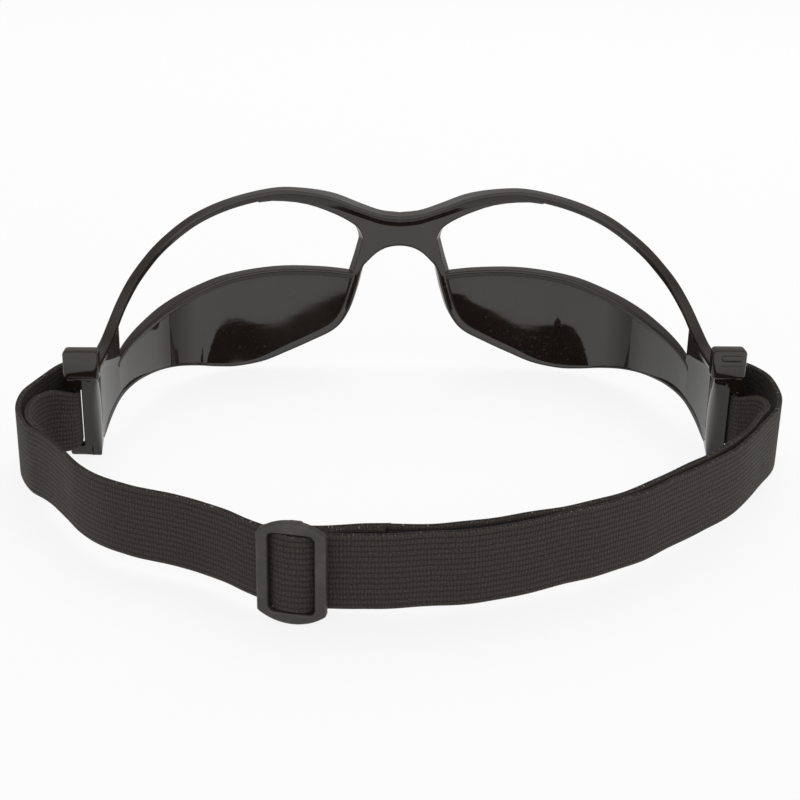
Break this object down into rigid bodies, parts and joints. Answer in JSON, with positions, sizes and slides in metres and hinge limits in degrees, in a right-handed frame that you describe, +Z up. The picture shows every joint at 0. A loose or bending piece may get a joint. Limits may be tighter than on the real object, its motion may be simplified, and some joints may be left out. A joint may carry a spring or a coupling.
{
  "type": "dribble goggles",
  "caption": "Wrap-round dribble goggles: open eye frames with a shield across the lower half of each eye, a nose arch, slotted temples and an elastic head strap with a slide.",
  "frame": {"origin": "centre of the footprint, at the height of the table", "axes": "+X to the wearer's right, +Y the way the wearer looks, +Z up"},
  "size_m": [0.167, 0.1363, 0.0478],
  "materials": {
    "frame_plastic": "glossy injection-moulded black, slightly soft with handling",
    "slide_plastic": "satin black moulding",
    "elastic": "woven black elastic with fine ribs along its length",
    "thread": "black sewing thread"
  },
  "bodies": {
    "goggles": {"frame": "frame_plastic", "strap_left_loop": "elastic", "strap_band": "elastic", "strap_right_loop": "elastic", "strap_return": "elastic", "left_bartack": "thread"},
    "slide": {"slide_buckle": "slide_plastic", "strap_end_loop": "elastic", "end_bartack": "thread"}
  },
  "joints": [
    {"name": "slide_travel", "type": "hinge", "parent": "goggles", "child": "slide", "pos_m": [-0.0045, 0.012, 0.0103], "axis": [0, 0, 1], "range_deg": [-40, 50], "deforming": ["strap_return"]}
  ]
}
